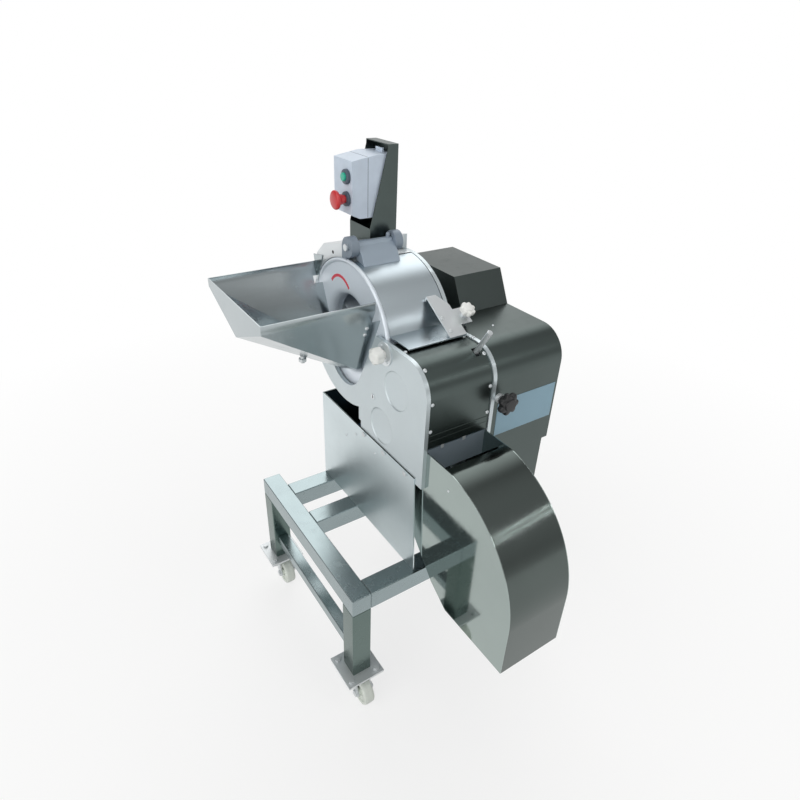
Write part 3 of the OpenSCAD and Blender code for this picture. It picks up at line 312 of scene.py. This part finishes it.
def turned(rings, sides=48, hollow=False):
    """A shape turned on a lathe along Z: rings of radius and height in millimetres."""
    only()
    radius, height = rings[0]
    bpy.ops.mesh.primitive_circle_add(vertices=sides, radius=radius / MM, location=(0, 0, height / MM),
                                      fill_type="NOTHING" if hollow else "NGON")
    obj = bpy.context.object
    bpy.ops.object.transform_apply(location=True, rotation=True, scale=True)
    bpy.ops.object.mode_set(mode="EDIT")
    bpy.ops.mesh.select_all(action="SELECT")
    for (r0, h0), (r1, h1) in zip(rings, rings[1:]):
        bpy.ops.mesh.extrude_region_move(TRANSFORM_OT_translate={"value": (0, 0, (h1 - h0) / MM)})
        bpy.ops.transform.resize(value=(r1 / r0, r1 / r0, 1), center_override=(0, 0, h1 / MM))
    bpy.ops.object.mode_set(mode="OBJECT")
    outward(obj)
    return obj


def lobes(obj, count, depth, low, high):
    """Presses finger hollows into the part of a turned shape between two heights."""
    for v in obj.data.vertices:
        r = math.hypot(v.co.x, v.co.y)
        if low / MM <= v.co.z <= high / MM and r > 1e-6:
            swing = math.cos(count * math.atan2(v.co.y, v.co.x))
            k = 1 - depth * (0.5 - 0.5 * swing) ** 1.4
            v.co.x, v.co.y = v.co.x * k, v.co.y * k


def slab(low, high, edge=1.0, segments=2):
    """A block between two corners in millimetres, its edges broken."""
    only()
    a, b = at(*low), at(*high)
    bpy.ops.mesh.primitive_cube_add(size=1, location=(a + b) / 2, scale=b - a)
    obj = bpy.context.object
    bpy.ops.object.transform_apply(location=True, rotation=True, scale=True)
    rounded(obj, edge, segments)
    return obj


def joined(pieces):
    """Makes one piece of several."""
    only(pieces[0])
    for p in pieces[1:]:
        p.select_set(True)
    bpy.ops.object.join()
    return bpy.context.object


def placed(obj, name, body, finish, nodes=()):
    """Finishes a piece: name, material, shading, and the body that it moves with."""
    obj.name = obj.data.name = name
    obj.data.materials.clear()
    obj.data.materials.append(finishes[finish].material)
    soft_shaded(obj, 38)
    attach(obj, body)
    if nodes:
        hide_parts(*nodes)
    return obj


def dressed(node, finish, edge, segments=2, angle=32):
    """A copy of a solid with its loose triangles merged and its edges broken, which stands for it."""
    only(solids[node])
    bpy.ops.object.duplicate()
    obj = bpy.context.object
    obj.parent = None
    for key in list(obj.keys()):
        del obj[key]
    obj.matrix_world = Matrix.Identity(4)
    only(obj)
    bpy.ops.object.mode_set(mode="EDIT")
    bpy.ops.mesh.select_all(action="SELECT")
    bpy.ops.mesh.remove_doubles(threshold=2e-6)
    bpy.ops.mesh.dissolve_limited(angle_limit=math.radians(0.2))
    bpy.ops.object.mode_set(mode="OBJECT")
    bpy.ops.mesh.customdata_custom_splitnormals_clear()
    rounded(obj, edge, segments, angle)
    return placed(obj, node + "_made", body_of[node], finish, (node,))


def arc(centre, radius, start, end, steps):
    """Points on an arc, as pairs."""
    turn = [math.radians(start + (end - start) * k / steps) for k in range(steps + 1)]
    return [(centre[0] + radius * math.cos(a), centre[1] + radius * math.sin(a)) for a in turn]


def screw(centre, axis, radius=4.5, height=2.6):
    """A domed screw head with a six-sided socket."""
    dome, key = 0.55, 0.5   # radius of the flat top and of the socket, as shares
    rings = [(radius, 0), (radius, height * 0.35), (radius * 0.93, height * 0.7), (radius * 0.78, height * 0.92),
             (radius * dome, height), (radius * key, height), (radius * key, height * 0.4)]
    obj = turned(rings, 36)
    for v in obj.data.vertices:
        r = math.hypot(v.co.x, v.co.y)
        if 1e-7 < r < radius * (key + 0.02) / MM:
            turn = math.atan2(v.co.y, v.co.x) % (math.pi / 3) - math.pi / 6
            k = math.cos(math.pi / 6) / math.cos(turn)
            v.co.x, v.co.y = v.co.x * k, v.co.y * k
    stood(obj, centre, axis)
    return obj


def hex_nut(centre, axis, across, height):
    """A chamfered hexagon nut or bolt head."""
    only()
    bpy.ops.mesh.primitive_cylinder_add(vertices=6, radius=across / math.sqrt(3) / MM, depth=height / MM,
                                        location=(0, 0, height / 2 / MM))
    obj = bpy.context.object
    bpy.ops.object.transform_apply(location=True, rotation=True, scale=True)
    rounded(obj, height * 0.12, 2, 30)
    stood(obj, centre, axis)
    return obj


def swept(section, centre, start, end, steps):
    """Sweeps a section about an axis along X: rows of (out from the axis, along X) in millimetres."""
    only()
    bpy.ops.mesh.primitive_circle_add(vertices=len(section), radius=0.01, fill_type="NGON")
    obj = bpy.context.object
    a = math.radians(start)
    for v, (out, x) in zip(obj.data.vertices, section):
        v.co = at(x, centre[0] + out * math.cos(a), centre[1] + out * math.sin(a))
    bpy.ops.object.mode_set(mode="EDIT")
    bpy.ops.mesh.select_all(action="SELECT")
    # spin turns the other way round
    bpy.ops.mesh.spin(steps=steps, angle=math.radians(start - end), center=at(0, *centre), axis=RIGHT)
    bpy.ops.object.mode_set(mode="OBJECT")
    outward(obj)
    return obj


def bead_section(out, x, radius, sides=10):
    """A small round section for a weld bead or a rolled edge."""
    turns = [2 * math.pi * k / sides for k in range(sides)]
    return [(out + radius * math.cos(a), x + radius * math.sin(a)) for a in turns]


# ---------------------------------------------------------------- frame and castors

CORNERS = {"fl": (25, 25), "bl": (25, 495), "fr": (535, 25), "br": (535, 495)}


def make_frame():
    groups = {
        "end_tubes": ("tube_y", [((x, 0, -50), (x + 50, 520, 0)) for x in (0, 510)]),
        "cross_tubes": ("tube_x", [((50, y, -50), (510, y + 50, 0)) for y in (0, 278, 412)]),
        # the legs wear the painted-shade copy of the tube steel
        "legs": ("tube_z_shaded", [((x, y, -272), (x + 50, y + 50, -50)) for x in (0, 510) for y in (0, 470)]),
        "end_rails": ("tube_y", [((x, 50, -220), (x + 30, 470, -190)) for x in (10, 520)]),
    }
    for name, (finish, boxes) in groups.items():
        tubes = joined([slab(low, high, 2.4, 3) for low, high in boxes])
        placed(tubes, "frame_" + name, "base", finish, ("base_frame",))
    dressed("foot_plates", "zinc", 0.8)
    dressed("caster_heads", "zinc", 0.8)
    dressed("caster_bolts", "zinc", 0.6)


def make_castors():
    half = [(5.3, -16.7), (10.6, -16.7), (11, -16.2), (11, -9.4), (12, -8.6), (25.5, -8.6), (27.4, -9.6),
            (28.6, -12.6), (30, -13.8), (33, -14), (35, -13.4), (36.5, -11.8), (37.2, -9), (37.5, -5),
            (37.5, -1.2), (37.2, 0)]
    rings = half + [(r, -h) for r, h in reversed(half[:-1])]
    for corner, (x, y) in CORNERS.items():
        dressed("caster_fork_" + corner, "zinc", 1.0, 3)
        wheel = turned(rings + [rings[0]], 72, hollow=True)
        stood(wheel, at(x, y - 30, -337.5), RIGHT)
        placed(wheel, "castor_wheel_" + corner, "wheel_" + corner, "nylon",
               ("caster_wheel_" + corner,))


# ---------------------------------------------------------------- housing, drum and cover


def make_housing():
    pedestal = dressed("pedestal", "pedestal", 0.5)
    pedestal.data.materials.append(finishes["polished_z"].material)
    for face in pedestal.data.polygons:
        face.material_index = int(face.center.x > at(300, 0, 0).x)
    plate = dressed("front_plate", "cast", 1.4, 3)
    dish = [(47, -2), (46.3, -0.3), (45.6, 0.7), (44.4, 1.8), (42.6, 2.6), (40, 3.2), (36, 3.9), (30, 4.8),
            (22, 5.7), (12, 6.4), (1, 6.7)]
    for y, z in (CUT, DISC):
        press = turned(dish, 96)
        stood(press, at(175, y, z), RIGHT)
        modifier(plate, "BOOLEAN", operation="DIFFERENCE", object=press, solver="EXACT")
        bpy.data.objects.remove(press)
    soft_shaded(plate, 30)
    dressed("back_plate", "cast", 0.8)
    dressed("plate_bolts", "zinc", 0.5)
    dressed("lower_guard", "polished_z", 0.3)
    dressed("drum_shell", "bright", 0.3)
    dressed("roof", "bright", 0.5)
    dressed("knob_flange", "bright", 0.6)
    dressed("side_knob_collar", "zinc", 0.6)
    heads = []
    bend = math.radians(122.9)
    bend_out = (0, math.cos(bend), math.sin(bend))
    for x in (191, 346):
        heads += [screw(at(x, 107, 542), UP), screw(at(x, 5, 467), NEAR), screw(at(x, 5, 401), NEAR)]
        heads.append(screw(at(x, GUARD_BEND[0] + GUARD_BEND_R * bend_out[1],
                              GUARD_BEND[1] + GUARD_BEND_R * bend_out[2]), bend_out))
    wall = math.radians(66.1)   # slope of the hopper's near wall
    hopper_out = (0, -math.sin(wall), -math.cos(wall))
    for down in (50, 70):
        y, z = 190 + down * 0.405, 608 - down * 0.914
        heads.append(screw(at(159, y, z), hopper_out, 4.5, 3))
        heads.append(hex_nut(at(159, y + 5.4, z + 2.4), hopper_out, 8, 3.4))
    placed(joined(heads), "sheet_screw_heads", "base", "bright", ("sheet_screws",))


def make_feed_ring():
    bead = arc((175, 5), 5, 35, -165, 14)
    face = [(169, 4.8), (167, 5), (150, 5), (130, 5), (111, 5)]
    neck = [(105, 5.6), (100.5, 6.9), (97.4, 8.7), (95, 11), (93.2, 14.3), (92.2, 18), (92, 21), (92, 34)]
    inside = [(95, 34), (95, 19), (98, 14), (102, 10.5), (111, 8), (167, 8), (169, 10)]
    ring = turned([(169, 10), (178, 10)] + bead + face + neck + inside, 160, hollow=True)
    stood(ring, at(185, *DRUM), RIGHT)
    placed(ring, "feed_ring_turned", "base", "ring", ("feed_ring", "feed_neck"))
    section = [(48.5, 189.7), (55.5, 189.7), (55.5, 190.05), (48.5, 190.05)]
    strip = swept(section, (382, 568), 34, 140, 36)
    placed(strip, "turning_arc", "base", "arc_red")


def make_cover():
    dressed("drum_cover", "cover", 0.5)
    dressed("hinge_knuckles", "hinge", 1.6, 3)
    dressed("hinge_barrel", "hinge_sheet", 1.2, 3)
    dressed("hinge_pin", "bright", 0.8)
    dressed("latch_bracket", "bright", 0.7)
    heads = [screw(on_latch(x, down, 178), LATCH_OUT, 4.4, 2.4) for x, down in ((312, 120), (315, 156))]
    placed(joined(heads), "latch_screws", "cover", "zinc")
    nub = turned([(5, 0), (5, 7), (4.6, 8.6), (3.4, 9.6), (1.5, 10)], 24)
    stood(nub, at(292, 340, 710.4), UP)
    placed(nub, "hinge_nub", "cover", "hinge")


# ---------------------------------------------------------------- knobs and controls


def make_knobs():
    knob = turned([(10, -8), (10, -0.3), (16.5, 0), (19, 1.4), (20, 4), (20, 10), (20, 15), (19.2, 18),
                   (17, 19.8), (13, 20.6), (11, 21.6), (10.4, 22.8), (8, 23), (1, 23)], 72)
    lobes(knob, 6, 0.15, 0, 20.2)
    stem = turned([(6, -16), (6, -8.2)], 32)
    stood(knob, at(*FRONT_KNOB), LEFT)
    stood(stem, at(*FRONT_KNOB), LEFT)
    placed(knob, "front_knob_moulded", "front_knob", "white", ("front_knob",))
    placed(stem, "front_knob_stem", "front_knob", "bright", ("front_knob",))

    seat = on_latch(370, 125, 190.5)
    knob = turned([(9, -6), (9, -0.3), (13.5, 0), (16.8, 1.2), (18, 3.6), (18, 7), (18, 10), (17.1, 12.6),
                   (14.6, 13.9), (10.2, 14.3), (9.6, 16), (8, 17), (1, 17)], 84)
    lobes(knob, 7, 0.20, 0, 14.0)
    stem = joined([turned([(5, -21.2), (5, -6.2)], 32), hex_nut(Vector((0, 0, -0.0125)), UP, 15, 5)])
    stood(knob, seat, LATCH_OUT)
    stood(stem, seat, LATCH_OUT)
    placed(knob, "clamp_knob_moulded", "clamp", "white", ("clamp_knob",))
    placed(stem, "clamp_screw", "clamp", "bright", ("clamp_knob",))

    knob = turned([(12, -8), (13.5, -6), (17, -0.4), (22, 1.5), (25.6, 3.6), (27, 6.4), (27, 12), (26, 15),
                   (23, 17.2), (16, 18), (15, 18.8), (14.2, 20.6), (12, 21), (1, 21)], 84)
    lobes(knob, 7, 0.24, -2, 18.1)
    stem = turned([(6, -28), (6, -8.2)], 32)
    stood(knob, at(*SIDE_KNOB), NEAR)
    stood(stem, at(*SIDE_KNOB), NEAR)
    placed(knob, "side_knob_moulded", "side_knob", "black", ("side_knob",))
    placed(stem, "side_knob_stem", "side_knob", "bright", ("side_knob",))


def make_controls():
    dressed("control_post", "polished_z", 0.5)
    dressed("control_box", "box", 3.0, 4, 24)
    collars = []
    for place in (START, STOP):
        ring = turned([(15, -0.2), (16, 0.5), (16, 5.4), (15.3, 7), (13.4, 8), (9.4, 8), (9.4, -3)], 64)
        stood(ring, at(*place), LEFT)
        collars.append(ring)
    placed(joined(collars), "button_collar_rings", "base", "collar", ("button_collars",))
    start = turned([(9, -12), (9, 11.4), (8.6, 12.4), (7.6, 12.9), (5, 13), (0.5, 13)], 64)
    stood(start, at(*START), LEFT)
    placed(start, "start_button_cap", "start", "green", ("start_button",))
    stop = turned([(9, -12), (9, 14), (11, 14), (11.2, 15.5), (11.8, 19), (13, 22), (15.6, 24.4), (18.8, 26.2),
                   (20.4, 27.8), (21, 30), (20.7, 31.9), (19.6, 33.6), (17.4, 35), (14, 36), (9, 36.7), (4, 37),
                   (0.5, 37)], 72)
    stood(stop, at(*STOP), LEFT)
    placed(stop, "stop_button_head", "stop", "red", ("stop_button",))
    dressed("cable_gland", "black", 0.6)


# ---------------------------------------------------------------- hopper, casing, chute


def make_sheet_metal():
    dressed("hopper", "hopper", 0.6)
    dressed("hopper_stud", "zinc", 0.6)
    dressed("drive_casing", "polished_x", 0.8)
    # the hood takes the painted-shade copy of the casing steel
    dressed("hood", "polished_y_shaded", 0.8)
    dressed("chute_sides", "mirror", 0.3)
    dressed("chute_back", "chute", 0.3)
    beads = [swept(bead_section(256.9, x, 1.0), (-40, 95), 98.7, 180, 48) for x in (186, 351)]
    placed(joined(beads), "chute_edge_welds", "base", "bright")
    plate = slab((374, 1.3, 328), (553, 2.05, 420), 0.3)
    placed(plate, "bare_plate", "base", "plate_blue")


def make_inside():
    for node in ("thickness_gate", "knife_holder", "main_shaft", "crosscut_spindle", "circular_spindle"):
        dressed(node, "bright", 0.5)
    for node in ("slicing_knife", "crosscut_knives", "circular_knives"):
        dressed(node, "knife", 0.1)
    for node in ("main_bearing", "main_pulleys", "spindle_bearings", "motor_pulley"):
        dressed(node, "iron", 0.5)
    dressed("impeller", "ring", 0.5)
    dressed("belts", "belt", 0.6)
    dressed("motor", "motor", 1.0)
    dressed("motor_plate", "tube_x", 0.6)


def make_details():
    """Small screws, a lock ring, painted shade in two holes, the guard's lower strip and sheet, and the box seam.
    """
    heads = [screw(at(357, 88, 545), UP, 4.2, 2.4), screw(at(438, 115, 545), UP, 3.2, 1.8)]
    heads += [screw(at(190, 383, 363), LEFT, 4.2, 2.4)]
    heads += [screw(at(172, y, z), LEFT, 3.2, 1.6) for y, z in ((330, 207), (280, 239), (190, 236))]
    heads += [screw(at(560, y, z), RIGHT, 4.6, 2.6) for y in (30, 232, 434) for z in (285, 400, 505)]
    heads += [screw(at(x, 462, z), FAR, 4.6, 2.6) for x in (190, 361, 532) for z in (25, 245)]
    heads += [turned([(3, 0), (2.8, 0.8), (2, 1.3), (0.8, 1.5)], 24)]
    stood(heads[-1], at(185, -77, 304), LEFT)
    placed(joined(heads), "panel_screws", "base", "bright")
    eye = turned([(7, 0), (7, 0.9), (6.4, 1.4), (4.4, 1.4), (4.0, 0.6)], 40)
    stood(eye, at(175, 207, 387), LEFT)
    placed(eye, "lock_ring", "base", "bright")
    # the lock's key slot and a small hole are a black slab and disc: painted shade in place of the holes
    slots = [slab((174.1, 205.4, 383), (174.7, 208.6, 391), 0.1), turned([(4, 0), (4, 0.3)], 32)]
    stood(slots[1], at(185, 407, 671), LEFT)
    placed(joined(slots), "painted_shade_holes", "base", "socket")
    hem = [slab((185.6, 4.1, 386), (351.4, 7, 390), 0.7), slab((186, 4.8, 357), (351, 6.6, 387), 0.5),
           slab((186, 4.2, 373), (351, 5.4, 376), 0.5)]
    placed(joined(hem), "guard_hem", "base", "polished_x")
    apron = slab((186.5, 8.6, 284), (350.5, 10.2, 351), 0.4)
    placed(apron, "guard_apron", "base", "hinge_sheet")
    ties = [slab((x - 4, 6.2, 346), (x + 4, 9, 361), 0.6) for x in (229, 289)]
    placed(joined(ties), "guard_ties", "base", "zinc")
    seam = [slab((257.5, y, 749.5), (258.5, y + 0.6, 876), 0.1) for y in (372.8, 454.6)]
    seam += [slab((257.5, 375, 877.3), (258.5, 453, 877.9), 0.1)]
    placed(joined(seam), "box_lid_seam", "base", "collar")


make_frame()
make_castors()
make_housing()
make_feed_ring()
make_cover()
make_knobs()
make_controls()
make_sheet_metal()
make_inside()
make_details()


# ---------------------------------------------------------------- floor, light and world


# the floor's own white grows with the distance from the machine, so that its shadow stays
FADE_FROM, FADE_TO, NEAR_SHARE = 0.7, 2.4, 0.72


def make_floor():
    only()
    bpy.ops.mesh.primitive_plane_add(size=40, location=(0, 0, 0))
    floor = bpy.context.object
    floor.name = "studio_floor"
    f = Finish("pale_floor", Roughness=0.9, Base_Color=(0.86, 0.86, 0.85, 1), Specular_IOR_Level=0.1)
    glow = f.node("ShaderNodeEmission", {}, {"Color": (1, 1, 1, 1), "Strength": 1.0})
    path = f.tree.nodes.new("ShaderNodeLightPath")
    camera_ray, glossy_ray, clear_ray = (
        Value(f, path.outputs["Is " + kind + " Ray"]) for kind in ("Camera", "Glossy", "Transmission"))
    here = f.node("ShaderNodeTexCoord", out="Object")
    away = f.node("ShaderNodeVectorMath", {"operation": "LENGTH"}, {0: here}, out="Value")
    share = f.band(away, FADE_FROM, FADE_TO) * (1 - NEAR_SHARE) + NEAR_SHARE
    share = (camera_ray + glossy_ray + clear_ray) * share
    blend = f.node("ShaderNodeMixShader", {}, {0: share, 1: Value(f, f.shader.outputs[0]), 2: glow})
    f.tree.links.new(blend.socket, f.tree.nodes["Material Output"].inputs["Surface"])
    floor.data.materials.append(f.material)


# soft panels of the room: direction, where the edge begins and the core ends (as cosines), brightness
SOFT_PANELS = (
    ((-0.80, -0.30, 0.52), 0.66, 0.97, 1.9),
    ((0.38, 0.60, 0.70), 0.80, 0.97, 2.3),
    ((0.45, -0.52, 0.72), 0.72, 0.98, 0.45),
)

# brightness of the room between the horizon and the top, by height
SKY_LEVELS = ((0.16, 0.48), (0.40, 0.28), (0.70, 0.25))


def make_world():
    world = bpy.data.worlds.new("soft_studio")
    bpy.context.scene.world = world
    world.use_nodes = True
    tree = world.node_tree
    link = tree.links.new
    tree.nodes.clear()
    out = tree.nodes.new("ShaderNodeOutputWorld")
    path = tree.nodes.new("ShaderNodeLightPath")
    way = tree.nodes.new("ShaderNodeTexCoord")
    split = tree.nodes.new("ShaderNodeSeparateXYZ")
    link(way.outputs["Generated"], split.inputs[0])
    ramp = tree.nodes.new("ShaderNodeValToRGB")
    stops = ramp.color_ramp.elements
    stops[0].position, stops[0].color = 0.0, (0.80, 0.80, 0.79, 1)
    stops[1].position, stops[1].color = 1.0, (0.30, 0.30, 0.30, 1)
    for height, level in SKY_LEVELS:
        stops.new(height).color = (level, level, level, 1)
    link(split.outputs["Z"], ramp.inputs["Fac"])
    light = ramp.outputs["Color"]
    for toward, edge, core, gain in SOFT_PANELS:
        facing = tree.nodes.new("ShaderNodeVectorMath")
        facing.operation = "DOT_PRODUCT"
        link(way.outputs["Generated"], facing.inputs[0])
        facing.inputs[1].default_value = Vector(toward).normalized()
        panel = tree.nodes.new("ShaderNodeMapRange")
        panel.interpolation_type = "SMOOTHSTEP"
        for key, value in (("From Min", edge), ("From Max", core), ("To Max", gain)):
            panel.inputs[key].default_value = value
        link(facing.outputs["Value"], panel.inputs["Value"])
        total = tree.nodes.new("ShaderNodeMath")
        link(light, total.inputs[0])
        link(panel.outputs["Result"], total.inputs[1])
        light = total.outputs[0]
    room = tree.nodes.new("ShaderNodeBackground")
    link(light, room.inputs["Strength"])
    white = tree.nodes.new("ShaderNodeBackground")
    white.inputs["Color"].default_value = (1, 1, 1, 1)
    mix = tree.nodes.new("ShaderNodeMixShader")
    link(path.outputs["Is Camera Ray"], mix.inputs[0])
    link(room.outputs[0], mix.inputs[1])
    link(white.outputs[0], mix.inputs[2])
    link(mix.outputs[0], out.inputs["Surface"])


def make_lamp(name, place, target, width, height, power):
    lamp = bpy.data.objects.new(name, bpy.data.lights.new(name, "AREA"))
    bpy.context.scene.collection.objects.link(lamp)
    lamp.data.shape = "RECTANGLE"
    lamp.data.size, lamp.data.size_y = width, height
    lamp.data.energy = power
    lamp.location = place
    lamp.rotation_euler = (Vector(target) - Vector(place)).to_track_quat("-Z", "Y").to_euler()


make_floor()
make_world()
for name, place in (("strip_one", (1.45, -2.0, 2.1)), ("strip_two", (1.55, -2.1, 1.95))):
    make_lamp(name, place, (0.05, -0.1, 0.6), 0.8, 0.02, 1.0)
make_lamp("long_strip", (0.2, -0.4, 3.0), (0, 0, 0.8), 0.10, 2.4, 5)
